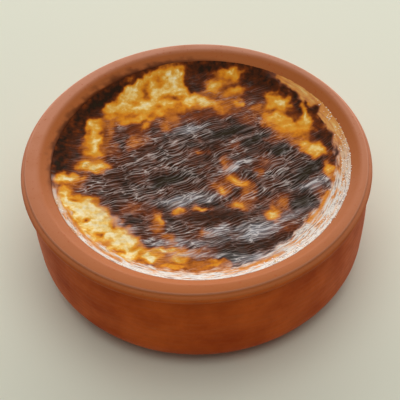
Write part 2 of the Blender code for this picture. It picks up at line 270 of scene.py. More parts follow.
# Burnt patches that reach into the ring along the wall, measured like the spots
RING_BURNS = (
    (37, 34, 3, 6, -20), (45.3, 26.5, 4, 5, 20), (48.4, 11.5, 4, 11, 12), (50.0, 3, 2.2, 8, -6),
    (24, 45, 7, 4, -20), (30, 41, 5, 4, -30), (26.5, 46.0, 2.6, 1.4, -30), (35.5, 38.5, 1.5, 3.2, 40),
    (41.5, 31.0, 1.6, 2.8, 30), (45.0, 20.5, 1.4, 3.4, 20), (32.0, 42.5, 1.2, 2.0, 45),
)
# Caramel streaks that part the ring along the wall, in millimetres: thickness, corners
RING_GAPS = (
    (2.0, ((13.5, -47.6), (21.2, -44.4), (28, -40.8))),
    (1.3, ((-45.5, -19), (-39.5, -30), (-32.4, -37.9), (-27, -41.8))),
    (1.7, ((38.0, -26.8), (42.6, -21.0), (46.0, -13.5))),
)


def linear(code):
    """A screen's hex colour, turned to the linear red, green and blue that Blender works in."""
    parts = [int(code[start:start + 2], 16) / 255 for start in (1, 3, 5)]
    return tuple(part / 12.92 if part <= 0.04045 else ((part + 0.055) / 1.055) ** 2.4 for part in parts)


def colour(name, description, code):
    """A colour among the settings."""
    return bpy.props.FloatVectorProperty(
        name=name, description=description, subtype="COLOR", size=3, default=linear(code))


def measure(name, description, value, unit="LENGTH"):
    """A length or another measure among the settings."""
    return bpy.props.FloatProperty(name=name, description=description, default=value, unit=unit)


class DishSettings(bpy.types.PropertyGroup):
    """Sizes and colours of the clay dish."""

    steps: bpy.props.IntProperty(
        name="Steps round", description="How finely the dish is turned", default=288, min=32, max=512)
    ring_spacing: measure("Throwing ring spacing", "Distance between the finger rings on the wall", 2.6 * MM)
    ring_depth: measure("Throwing ring depth", "Depth of the finger rings", 0.035 * MM)
    unevenness: measure("Unevenness", "How far the hand-thrown wall wanders", 0.25 * MM)
    clay: colour("Clay", "Fired red clay of the wall", "#CB5B18")
    clay_dark: colour("Dark clay", "Clay where the fire or the glaze is stronger", "#A8400A")
    # Partly painted sheen: the rim's clay is partly the clay's own tan and partly the sheen of its top
    clay_rim: colour("Rim clay", "Clay of the rim's top in front", "#AD6232")
    # Painted highlight: the pale colour laid on the rim's top at the back and along its crest
    clay_highlight: colour("Pale clay", "Paler clay of the rim's top at the back", "#CF9074")
    scorch: colour("Scorch", "Milk burnt on the inner wall", "#552810")


class PuddingSettings(bpy.types.PropertyGroup):
    """Sizes and colours of the pudding and its skin."""

    cells: bpy.props.IntProperty(
        name="Cells across", description="How finely the skin is meshed", default=280, min=40, max=285)
    wrinkle_spacing: measure("Wrinkle spacing", "Distance between the skin's fine wrinkles", 1.1 * MM)
    wrinkle_height: measure("Wrinkle height", "Height of the skin's fine wrinkles", 0.36 * MM)
    curd_height: measure("Curd height", "Height of the lumps in the golden parts", 0.22 * MM)
    cream: colour("Cream", "Set milk that has not browned", "#F8E7B8")
    pale: colour("Pale", "Set milk, barely browned", "#F0CB78")
    gold: colour("Gold", "Golden skin", "#E2A238")
    amber: colour("Amber", "Well baked skin", "#DA861C")
    orange: colour("Orange", "Caramel", "#B9681F")
    rust: colour("Rust", "Dark caramel", "#763612")
    brown: colour("Brown", "Burnt skin", "#4E2612")
    dark: colour("Dark", "Dark dried skin", "#2B1C12")
    char: colour("Char", "Charred skin", "#2E2414")
    # Partly painted reflection: this white is laid heaviest in front, where the wet ring catches the light
    # behind
    milk_fat: colour("Milk fat", "Fat that came out along the wall", "#DAD4CC")
    # Painted reflection: the cool sheen laid where the dried skin mirrors the light behind
    sheen: colour("Sheen", "Cool bloom on the driest skin", "#C4C8D0")
    # Partly painted glint: the crests are pale dried skin, lightened for the light they catch
    crest_ash_and_glint: colour("Ash", "Dried crests of the wrinkles", "#CFC4BD")


class SpeckSettings(bpy.types.PropertyGroup):
    """The specks of milk fat along the wall."""

    density: measure("Density", "Most specks in a square metre", 3.0e6, "NONE")
    spacing: measure("Spacing", "Least distance between two specks", 0.48 * MM)
    radius: measure("Radius", "Radius of a large speck", 0.31 * MM)
    reach: measure("Reach", "How far in from the wall the specks go", 3.6 * MM)
    seed: bpy.props.IntProperty(name="Seed", description="Which scattering is used", default=5)
    cream: colour("Cream", "Colour of the palest specks", "#F6EEE4")
    butter: colour("Butter", "Colour of the yellowest specks", "#D9A86A")


class StageSettings(bpy.types.PropertyGroup):
    """Colour of the floor and power of the lights."""

    floor: colour("Floor", "Colour of the floor", "#DEDFCC")
    back_light: measure("Back light", "Power of the low softbox behind", 17.0, "POWER")
    high_light: measure("High light", "Power of the softbox high behind", 2.0, "POWER")
    top_light: measure("Top light", "Power of the softbox above", 3.4, "POWER")


# What the pieces share ----------------------------------------------------------------------------------

SOCKET_KINDS = {int: "NodeSocketInt", float: "NodeSocketFloat", bpy.types.Material: "NodeSocketMaterial"}


def fill(tree, node, inputs):
    """Fill a node's inputs: a node is linked by its first output in use, and a colour is made opaque."""
    for key, value in inputs.items():
        socket = node.inputs[key]
        if isinstance(value, bpy.types.Node):
            value = next(output for output in value.outputs if output.enabled)
        if isinstance(value, bpy.types.NodeSocket):
            tree.links.new(value, socket)
        else:
            socket.default_value = (*value, 1.0) if socket.type == "RGBA" else value


def add(tree, kind, inputs=None, **settings):
    """Add a node, set its properties and fill its inputs."""
    node = tree.nodes.new(kind)
    for name, value in settings.items():
        setattr(node, name, value)
    fill(tree, node, inputs or {})
    return node


def new_material(name):
    """A new material, its node tree, and the place of each point on the piece."""
    material = bpy.data.materials.new(name)
    material.use_nodes = True
    tree = material.node_tree
    return material, tree, add(tree, "ShaderNodeTexCoord").outputs["Object"]


def run_nodes(piece, build, inputs):
    """Run a Geometry Nodes tree with these inputs on the piece, and keep the plain mesh that it makes."""
    tree = bpy.data.node_groups.new(piece.name, "GeometryNodeTree")
    for direction in ("INPUT", "OUTPUT"):
        tree.interface.new_socket("Geometry", in_out=direction, socket_type="NodeSocketGeometry")
    identifiers = {}
    for name, value in inputs.items():
        socket = tree.interface.new_socket(name, in_out="INPUT", socket_type=SOCKET_KINDS[type(value)])
        identifiers[name] = socket.identifier
    given = add(tree, "NodeGroupInput").outputs
    smooth = add(tree, "GeometryNodeSetShadeSmooth", {"Geometry": build(tree, given)})
    plain = add(tree, "GeometryNodeRealizeInstances", {"Geometry": smooth})
    finished = add(tree, "GeometryNodeSetMaterial", {"Geometry": plain, "Material": given["Material"]})
    add(tree, "NodeGroupOutput", {"Geometry": finished})
    modifier = piece.modifiers.new(piece.name, "NODES")
    modifier.node_group = tree
    for name, value in inputs.items():
        modifier[identifiers[name]] = value
    made = bpy.data.meshes.new_from_object(piece.evaluated_get(bpy.context.evaluated_depsgraph_get()))
    start = piece.data
    piece.modifiers.clear()
    piece.data = made
    bpy.data.meshes.remove(start)
    made.name = piece.name


def store(mesh, key, values):
    """Store a number for each of the mesh's points, or a vector where a row holds three."""
    values = np.asarray(values, float)
    kind, field = ("FLOAT", "value") if values.ndim == 1 else ("FLOAT_VECTOR", "vector")
    mesh.attributes.new(key, kind, "POINT").data.foreach_set(field, values.ravel())


def mix(a, b, share):
    """The value this share of the way from a to b."""
    return a + (b - a) * share


def smoothstep(low, high, value):
    """0 below low and 1 above high, with a soft change between."""
    share = np.clip((value - low) / (high - low), 0.0, 1.0)
    return share * share * (3.0 - 2.0 * share)


def towards(turn, degrees):
    """1 where the turn is in this direction, seen from above, 0 a quarter turn away and -1 opposite."""
    return np.cos(turn - math.radians(degrees))


def hills(x, y, size, seed):
    """Soft random hills about this size across, from about -1 to 1: gradient noise on a square lattice."""
    lattice = 128
    turns = np.random.default_rng(seed).uniform(0.0, math.tau, (lattice, lattice))
    column, row = x / size + lattice / 2, y / size + lattice / 2
    left, low = np.floor(column).astype(int), np.floor(row).astype(int)
    across, up = column - left, row - low
    fade_x = across**3 * (across * (across * 6 - 15) + 10)
    fade_y = up**3 * (up * (up * 6 - 15) + 10)
    corner = {}
    for step_x in (0, 1):
        for step_y in (0, 1):
            turn = turns[(left + step_x) % lattice, (low + step_y) % lattice]
            corner[step_x, step_y] = np.cos(turn) * (across - step_x) + np.sin(turn) * (up - step_y)
    lower = mix(corner[0, 0], corner[1, 0], fade_x)
    upper = mix(corner[0, 1], corner[1, 1], fade_x)
    return 1.5 * mix(lower, upper, fade_y)


def ground(x, y, *layers):
    """Hills of several sizes added up, each layer given by its height, size and seed."""
    return sum(height * hills(x, y, size, seed) for height, size, seed in layers)


# The dish -----------------------------------------------------------------------------------------------


def arc(centre, radii, start, end, steps):
    """Points of an elliptical arc in the (radius, height) plane, angles in degrees from +radius."""
    angles = [math.radians(mix(start, end, index / steps)) for index in range(steps + 1)]
    return [(centre[0] + radii[0] * math.cos(angle), centre[1] + radii[1] * math.sin(angle))
            for angle in angles]


def straight(start, end, steps):
    """Points between two ends, without the ends."""
    return [(mix(start[0], end[0], index / steps), mix(start[1], end[1], index / steps))
            for index in range(1, steps)]


def inside_profile():
    """The dish's inside from the middle of its floor up to just short of the crest, as (radius, height)."""
    turn_centre = (INSIDE_FLOOR_RADIUS, FLOOR_THICKNESS + INSIDE_ROUNDING)
    floor_turn = arc(turn_centre, (INSIDE_FOOT_RADIUS - INSIDE_FLOOR_RADIUS, INSIDE_ROUNDING), -90, 0, 8)
    lip_height = DISH_HEIGHT - LIP_DROP
    slope = math.radians(BEVEL_TURN)
    corner_radius = MOUTH_RADIUS + BEVEL_CORNER_ROUNDING
    bevel_width = LIP_RADIUS - (corner_radius - BEVEL_CORNER_ROUNDING * math.sin(slope))
    bevel_foot = lip_height - bevel_width * math.tan(slope)
    corner_height = bevel_foot - BEVEL_CORNER_ROUNDING * math.cos(slope)
    corner_radii = (BEVEL_CORNER_ROUNDING, BEVEL_CORNER_ROUNDING)
    corner = arc((corner_radius, corner_height), corner_radii, 180, 90 + BEVEL_TURN, 10)
    wall = straight(floor_turn[-1], corner[0], 14)
    bevel = straight(corner[-1], (LIP_RADIUS, lip_height), 6)
    lip = [(mix(LIP_RADIUS, CREST_RADIUS - CREST_ROUNDING, share), DISH_HEIGHT - LIP_DROP * (1 - share) ** 2)
           for share in np.arange(8) / 8]
    return [(0.0, FLOOR_THICKNESS)] + floor_turn + wall + corner + bevel + lip


def outside_profile():
    """The dish's outside from the crest down to the middle of its base, as (radius, height)."""
    crest_centre = (CREST_RADIUS - CREST_ROUNDING, DISH_HEIGHT - CREST_ROUNDING)
    crest = arc(crest_centre, (CREST_ROUNDING, CREST_ROUNDING), 90, 0, 6)
    bead_half_height = (BAND_HEIGHT - BEAD_TOP_DROP) / 2
    bead_centre = (DISH_DIAMETER / 2 - BEAD_INSET, DISH_HEIGHT - BEAD_TOP_DROP - bead_half_height)
    bead = arc(bead_centre, (BEAD_INSET, bead_half_height), 90, -60, 15)
    groove_foot = DISH_HEIGHT - BAND_HEIGHT - GROOVE_HEIGHT
    groove_floor = (BODY_TOP_RADIUS - GROOVE_DEPTH, groove_foot + GROOVE_HEIGHT / 2)
    top = (BODY_TOP_RADIUS, groove_foot)
    groove = straight(bead[-1], groove_floor, 3) + [groove_floor] + straight(groove_floor, top, 3) + [top]
    wall = [(mix(BODY_TOP_RADIUS, BODY_FOOT_RADIUS, share) + BODY_BULGE * math.sin(math.pi * share),
             mix(groove_foot, FOOT_ROUNDING, share)) for share in np.arange(1, 40) / 40]
    foot = arc((BASE_RADIUS, FOOT_ROUNDING), (BODY_FOOT_RADIUS - BASE_RADIUS, FOOT_ROUNDING), 0, -90, 14)
    return crest + bead + groove + wall + foot + straight(foot[-1], (0.0, 0.0), 6) + [(0.0, 0.0)]


def profile_mesh(inside, outside):
    """A chain of edges along the profile, with each point's move off centre and its part of the dish."""
    mesh = bpy.data.meshes.new("profile")
    radius, height = np.array(inside + outside).T
    # Curve to Mesh puts a profile's X along the path's outward normal, and its Y downwards.
    points = np.stack([radius - DISH_DIAMETER, -height, 0.0 * height], 1)
    mesh.from_pydata(points.tolist(), [(index, index + 1) for index in range(len(points) - 1)], [])
    band_foot = DISH_HEIGHT - BAND_HEIGHT
    is_inside = np.arange(len(points)) < len(inside)
    is_body = ~is_inside & (height < band_foot)
    # All of the inside moves below the lip, and less and less of it up to the crest.
    inside_share = is_inside * np.clip((CREST_RADIUS - radius) / (CREST_RADIUS - LIP_RADIUS), 0.0, 1.0)
    inside_move = np.outer(inside_share, (*INSIDE_SHIFT, 0.0))
    store(mesh, "off_centre", inside_move + np.outer(is_body, (*BODY_SHIFT, 0.0)))
    above_foot = np.clip((height - PLAIN_FOOT_HEIGHT) / FOOT_FADE, 0.0, 1.0)
    store(mesh, "wall", is_body * above_foot * np.clip((band_foot - height) / BAND_FADE, 0.0, 1.0))
    # The rim clay, partly painted sheen, lies on the inside and the top, on most of the shoulder and on a
    # third of the band. The painted highlight of the back lies out from the lip.
    on_top = is_inside | (height > DISH_HEIGHT - 0.7 * CREST_ROUNDING)
    on_shoulder = height > DISH_HEIGHT - BEAD_TOP_DROP - SHOULDER_DEPTH
    rim = np.where(on_top, 1.0, np.where(on_shoulder, 0.9, 0.35) * (height > band_foot))
    store(mesh, "rim", rim)
    store(mesh, "lip", rim * np.clip((radius - LIP_RADIUS) / LIP_FADE + 0.6, 0.0, 1.0))
    return mesh


def turned_clay(tree, given):
    """Turn the profile round +Z, move its parts off centre and leave a thrower's marks."""
    path = add(tree, "GeometryNodeCurvePrimitiveCircle",
               {"Resolution": given["Steps Round"], "Radius": DISH_DIAMETER})
    profile = add(tree, "GeometryNodeMeshToCurve", {"Mesh": given["Geometry"]})
    swept = add(tree, "GeometryNodeCurveToMesh", {"Curve": path, "Profile Curve": profile})
    closed = add(tree, "GeometryNodeMergeByDistance", {"Geometry": swept, "Distance": SEAM_GAP})
    off_centre = add(tree, "GeometryNodeInputNamedAttribute", {"Name": "off_centre"},
                     data_type="FLOAT_VECTOR")
    moved = add(tree, "GeometryNodeSetPosition", {"Geometry": closed, "Offset": off_centre})
    # Finger rings and the hand's unevenness, always inwards, so that the dish keeps its size.
    wall = add(tree, "GeometryNodeInputNamedAttribute", {"Name": "wall"}, data_type="FLOAT")
    place = add(tree, "GeometryNodeInputPosition")
    up = add(tree, "ShaderNodeSeparateXYZ", {0: place}).outputs["Z"]
    wander = add(tree, "ShaderNodeTexNoise", {"Vector": place, "Scale": 1 / (28.0 * MM), "Detail": 2.0})
    height = add(tree, "ShaderNodeMath", {0: up, 1: given["Ring Spacing"]}, operation="DIVIDE")
    bent = add(tree, "ShaderNodeMath", {0: wander, 1: 3.0, 2: height}, operation="MULTIPLY_ADD")
    round_trip = add(tree, "ShaderNodeMath", {0: bent, 1: math.tau}, operation="MULTIPLY")
    wave = add(tree, "ShaderNodeMath", {0: round_trip}, operation="SINE")
    low_wave = add(tree, "ShaderNodeMath", {0: wave, 1: 1.0}, operation="SUBTRACT")
    rings = add(tree, "ShaderNodeMath", {0: low_wave, 1: given["Ring Depth"]}, operation="MULTIPLY")
    dent = add(tree, "ShaderNodeMath", {0: wander, 1: given["Unevenness"]}, operation="MULTIPLY")
    both = add(tree, "ShaderNodeMath", {0: rings, 1: dent}, operation="SUBTRACT")
    on_wall = add(tree, "ShaderNodeMath", {0: both, 1: wall}, operation="MULTIPLY")
    normal = add(tree, "GeometryNodeInputNormal")
    push = add(tree, "ShaderNodeVectorMath", {0: normal, "Scale": on_wall}, operation="SCALE")
    return add(tree, "GeometryNodeSetPosition", {"Geometry": moved, "Offset": push})


def fired_clay(settings):
    """Earthenware: red clay thrown on a wheel, sponged smooth and fired, with milk burnt on inside.

    The eye sees a soft broad gloss, darker and paler clouds a centimetre or two wide, fine specks of grit,
    and faint rings round the wall. A highlight along the crest, a paler top at the back and part of the
    rim's sheen are painted into the colour.
    """
    material, tree, position = new_material("fired_red_clay")
    place = add(tree, "ShaderNodeSeparateXYZ", {0: position}).outputs
    part = {name: add(tree, "ShaderNodeAttribute", attribute_name=name).outputs["Fac"]
            for name in ("rim", "lip", "scorch")}
    squash = add(tree, "ShaderNodeMapping", {"Vector": position, "Scale": (1.0, 1.0, 9.0)})
    noise = {}
    for name, vector, width, detail, roughness in (
            ("clouds", position, 16.0, 4.0, 0.6),
            ("streaks", squash, 9.0, 3.0, 0.5),
            ("grit", position, 1.1, 2.0, 0.5)):
        noise[name] = add(tree, "ShaderNodeTexNoise", {
            "Vector": vector, "Scale": 1 / (width * MM), "Detail": detail, "Roughness": roughness})
    # A painted highlight runs along the crest of the rim as a pale line.
    from_above = add(tree, "ShaderNodeVectorMath", {0: position, 1: (1.0, 1.0, 0.0)}, operation="MULTIPLY")
    reach = add(tree, "ShaderNodeVectorMath", {0: from_above}, operation="LENGTH")
    off_crest = add(tree, "ShaderNodeMath", {0: reach, 1: CREST_RADIUS}, operation="SUBTRACT")
    beside = add(tree, "ShaderNodeMath", {0: off_crest}, operation="ABSOLUTE")
    share = {}
    for name, source, low, high, least, most in (
            ("cloud", noise["clouds"], 0.35, 0.68, 0.0, 1.0),
            ("streak", noise["streaks"], 0.52, 0.75, 0.0, 0.25),
            ("grit", noise["grit"], 0.62, 0.74, 0.0, 0.4),
            ("back", place["Y"], -DISH_DIAMETER / 2, DISH_DIAMETER / 2, 0.0, 1.0),
            ("painted_crest_highlight", beside, 0.6 * MM, 0.1 * MM, 0.0, 1.0),
            ("on_top", place["Z"], DISH_HEIGHT - 0.7 * MM, DISH_HEIGHT - 0.3 * MM, 0.0, 0.5),
            ("rough", noise["clouds"], 0.3, 0.7, 0.42, 0.58)):
        share[name] = add(tree, "ShaderNodeMapRange", {
            "Value": source, "From Min": low, "From Max": high, "To Min": least, "To Max": most})
    # The top of the rim is paler, and most at the back: a painted highlight where the top catches the light
    # from behind.
    pale = add(tree, "ShaderNodeMath", {0: share["back"], 1: part["lip"]}, operation="MULTIPLY")
    painted_crest_highlight = add(tree, "ShaderNodeMath", {0: share["painted_crest_highlight"], 1: share["on_top"]}, operation="MULTIPLY")
    # Rim clay, partly painted sheen, paling to the painted highlight at the back
    rim_clay_and_sheen = add(tree, "ShaderNodeMix", {"Factor": pale, 6: settings.clay_rim, 7: settings.clay_highlight},
                   data_type="RGBA")
    clay = settings.clay
    for tint_share, tint in (
            (share["cloud"], settings.clay_dark),
            (part["rim"], rim_clay_and_sheen),
            (share["streak"], settings.clay_rim),
            (share["grit"], settings.clay_dark),
            (painted_crest_highlight, settings.clay_highlight),
            (part["scorch"], settings.scorch)):
        clay = add(tree, "ShaderNodeMix", {"Factor": tint_share, 6: clay, 7: tint}, data_type="RGBA")
    pits = add(tree, "ShaderNodeBump", {"Strength": 0.25, "Distance": 0.1 * MM, "Height": noise["grit"]})
    lines = add(tree, "ShaderNodeBump", {
        "Strength": 0.3, "Distance": 0.25 * MM, "Height": noise["streaks"], "Normal": pits})
    fill(tree, tree.nodes["Principled BSDF"], {
        "Base Color": clay, "Roughness": share["rough"], "IOR": 1.45, "Specular IOR Level": 0.08,
        "Normal": lines})
    return material


def skin_level(turn):
    """Height at which the skin meets the wall, in each direction, before its own unevenness."""
    return DISH_HEIGHT - EDGE_DROP + EDGE_TILT * np.cos(turn - EDGE_TILT_TURN)


def store_scorch(mesh):
    """How much burnt milk clings to each point of the inner wall: most above the skin at the back left."""
    place = np.empty(len(mesh.vertices) * 3)
    mesh.vertices.foreach_get("co", place)
    x, y, z = place.reshape(-1, 3).T
    x, y = x - INSIDE_SHIFT[0], y - INSIDE_SHIFT[1]
    turn = np.arctan2(y, x)
    broad, narrow = hills(turn * 9.0, z / MM, 1.0, 41), hills(turn * 26.0, z / MM, 1.0, 42)
    ragged = (0.55 + 0.5 * broad + 0.35 * narrow) * MM
    burnt_side = smoothstep(0.3, 0.9, towards(turn, SCORCH_TURN))
    reach_up = 2.6 * burnt_side * np.maximum(ragged, 0.15 * MM)
    share = burnt_side * (1.0 - smoothstep(0.0, 1.0, (z - skin_level(turn)) / (reach_up + 0.1 * MM)))
    store(mesh, "scorch", share * ((np.hypot(x, y) < LIP_RADIUS) & (z > FLOOR_THICKNESS)))


class OBJECT_OT_clay_dish(bpy.types.Operator):
    """Turn the clay dish."""

    bl_idname = "object.clay_dish"
    bl_label = "Clay Dish"

    def execute(self, context):
        settings = context.scene.dish_settings
        dish = bpy.data.objects.new("clay_dish", profile_mesh(inside_profile(), outside_profile()))
        context.scene.collection.objects.link(dish)
        run_nodes(dish, turned_clay, {
            "Steps Round": settings.steps,
            "Ring Spacing": settings.ring_spacing,
            "Ring Depth": settings.ring_depth,
            "Unevenness": settings.unevenness,
            "Material": fired_clay(settings),
        })
        store_scorch(dish.data)
        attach(dish, "root")
        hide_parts("bowl")
        return {"FINISHED"}


# The pudding --------------------------------------------------------------------------------------------

# The ring of milk fat along the wall: directions in degrees, lengths in millimetres
RING_WIDEST = -50.0
RING_BULGE = -37.0
RING_MOST_FAT_AND_GLINT = -82.0
RING_OPENING = 122.0
RING_WIDTH = 4.6
RING_SOFTNESS = 2.4
RING_RADIUS = 53.0
WALL_BAND = (44.0, 50.0)
FAT_LINE_WIDTH = 1.3
FAT_LINE_SOFTNESS = 0.6


def moved_inwards(distance):
    """The dish's inside moved by this distance into the dish, as rows of radius and height."""
    points = np.array(inside_profile())
    ends = np.concatenate([points[:1], points, points[-1:]])
    run = ends[2:] - ends[:-2]
    run = run / np.hypot(*run.T)[:, None]
    return points + distance * np.stack([-run[:, 1], run[:, 0]], 1)


def make_waves(draw, kind):
    """Waves across the skin, as (waves per metre in x, in y, phase, height)."""
    count, height, lengths, crest_turn, spread = kind
    waves = []
    for _ in range(count):
        turn = crest_turn + math.pi / 2 + draw.uniform(-spread, spread)
        length = draw.uniform(*lengths)
        waves.append((math.cos(turn) / length, math.sin(turn) / length, draw.uniform(0.0, math.tau), height))
    return waves


def wave_height(x, y, waves):
    """The waves' heights at these places, added up."""
    return sum(rise * np.sin(math.tau * (in_x * x + in_y * y) + phase) for in_x, in_y, phase, rise in waves)


def broad_relief(x, y):
    """Swells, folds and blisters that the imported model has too, in the same places."""
    draw = random.Random(RELIEF_SEED)
    swells = make_waves(draw, SWELLS)
    folds = make_waves(draw, FOLDS)
    fold_share = np.maximum(1.0 - (np.hypot(x, y) / FOLD_REACH) ** 4, 0.0)
    height = wave_height(x, y, swells) + fold_share * wave_height(x, y, folds)
    for _ in range(BLISTER_COUNT):
        turn = draw.uniform(0.0, math.tau)
        reach = draw.uniform(*BLISTER_RING)
        size = draw.uniform(*BLISTER_RADII)
        rise = draw.uniform(*BLISTER_HEIGHTS)
        nearness = 1.0 - ((x - reach * math.cos(turn)) ** 2 + (y - reach * math.sin(turn)) ** 2) / size**2
        height = height + rise * np.maximum(nearness, 0.0) ** 1.5
    return RELIEF_LIMIT * np.tanh(height / RELIEF_LIMIT)


def to_disc(across, up):
    """Square cells between -1 and 1 laid on a disc of radius 1, all of nearly the same size."""
    flat = np.abs(across) > np.abs(up)
    with np.errstate(divide="ignore", invalid="ignore"):
        turn = np.where(flat, math.pi / 4 * up / across, math.pi / 2 - math.pi / 4 * across / up)
    turn = np.where((across == 0) & (up == 0), 0.0, turn)
    reach = np.where(flat, across, up)
    return reach * np.cos(turn), reach * np.sin(turn)


def inside_ellipse(x, y, spot):
    """About how far inside the ellipse each place is, in millimetres: negative outside."""
    middle_x, middle_y, length, width, turn = spot
    angle = math.radians(turn)
    along = (x - middle_x) * math.cos(angle) + (y - middle_y) * math.sin(angle)
    across = (y - middle_y) * math.cos(angle) - (x - middle_x) * math.sin(angle)
    ratio = np.hypot(along / (length / 2), across / (width / 2))
    return (1.0 - ratio) * min(length, width) / 2


def line_distance(x, y, corners):
    """Distance from each place to the line through these corners."""
    nearest = np.full(x.shape, np.inf)
    for start, end in zip(corners, corners[1:]):
        run_x, run_y = end[0] - start[0], end[1] - start[1]
        share = np.clip(((x - start[0]) * run_x + (y - start[1]) * run_y) / (run_x**2 + run_y**2), 0.0, 1.0)
        distance = np.hypot(x - start[0] - share * run_x, y - start[1] - share * run_y)
        nearest = np.minimum(nearest, distance)
    return nearest


def inside_field(x, y, corners):
    """How far inside the closed outline each place is: negative outside."""
    outline = corners + corners[:1]
    within = np.zeros(x.shape, bool)
    for start, end in zip(outline, outline[1:]):
        if start[1] != end[1]:
            crosses = (start[1] > y) != (end[1] > y)
            where = start[0] + (y - start[1]) * (end[0] - start[0]) / (end[1] - start[1])
            within ^= crosses & (x < where)
    distance = line_distance(x, y, outline)
    return np.where(within, distance, -distance)


def on_spots(x, y, spots, softness):
    """1 on these spots and 0 away from them."""
    share = np.zeros(x.shape)
    for spot in spots:
        share = np.maximum(share, smoothstep(-softness, softness, inside_ellipse(x, y, spot)))
    return share


def on_streak(x, y, thickness, corners, inner, outer):
    """1 on a band of this thickness along the corners, changing this far in and out to 0 away from it."""
    return smoothstep(-outer, inner, thickness / 2 - line_distance(x, y, corners))


def baked(x, y):
    """How far the skin is baked at each place, in millimetres from the middle, and where it has crusted."""
    warp_x = ground(x, y, (1.4, 4.5, 1), (0.7, 2.1, 2), (0.2, 1.0, 7))
    warp_y = ground(x, y, (1.4, 4.5, 3), (0.7, 2.1, 4), (0.2, 1.0, 8))
    x, y = x + warp_x, y + warp_y
    done = 0.82 + ground(x, y, (0.07, 7.0, 5), (0.05, 3.0, 6))
    for stage, change, corners in FIELDS:
        done = mix(done, stage, smoothstep(-2.0 * change, 1.5 * change, inside_field(x, y, corners)))
    crusted = smoothstep(0.26, 0.6, done)
    for stage, thickness, corners in STREAKS[:2]:
        done = mix(done, stage, on_streak(x, y, thickness, corners, 1.2, 1.0))
    for stage, spots in SPOTS.items():
        for spot in spots:
            softness = min(2.0, 0.55 * min(spot[2], spot[3]))
            done = mix(done, stage, smoothstep(-softness, softness, inside_ellipse(x, y, spot)))
    for stage, thickness, corners in STREAKS[2:]:
        done = mix(done, stage, on_streak(x, y, thickness, corners, 0.8, 0.8))
    light = 1.0 - smoothstep(0.3, 0.6, done)
    return done + light * ground(x, y, (0.07, 3.2, 9), (0.05, 1.4, 10)), crusted


def run_of_wrinkles(x, y, turn, stretch):
    """Places measured along and across the skin's wrinkles, in millimetres, with the run's own wandering."""
    bend = 0.02 * np.maximum(x - 22.0, 0.0) ** 1.3 - 0.012 * np.maximum(y - 8.0, 0.0) ** 2
    bend = bend + 0.007 * np.minimum(x + 5.0, 0.0) ** 2
    angle = math.radians(turn)
    along = (x * math.cos(angle) + (y - bend) * math.sin(angle)) / stretch
    across = (y - bend) * math.cos(angle) - x * math.sin(angle)
    return along + ground(x, y, (0.5, 6.0, 12)), across + ground(x, y, (1.0, 6.5, 13), (0.1, 3.1, 14))


def crests(run, spacing, seed):
    """Thin crests along the run, from 0 between them to 1 on top."""
    return np.clip(1.0 - np.abs(hills(*run, spacing, seed)) * 2.4, 0.0, 1.0)


def skin_edge(turn):
    """Height and radius of the line where the skin meets the wall, in each direction."""
    radii, heights = moved_inwards(-SIDE_OVERLAP).T
    edge = skin_level(turn) + EDGE_UNEVENNESS * hills(turn * 6.0, 0.0 * turn, 1.0, 71)
    return edge, np.interp(edge, heights, radii)


def climb_at(reach, edge_radius):
    """How far the skin has climbed the wall at this radius: 0 in the middle and 1 at the wall."""
    climb = np.maximum((reach - (edge_radius - MENISCUS_WIDTH)) / MENISCUS_WIDTH, 0.0) ** MENISCUS_CURVE
    return np.minimum(climb, 1.0)


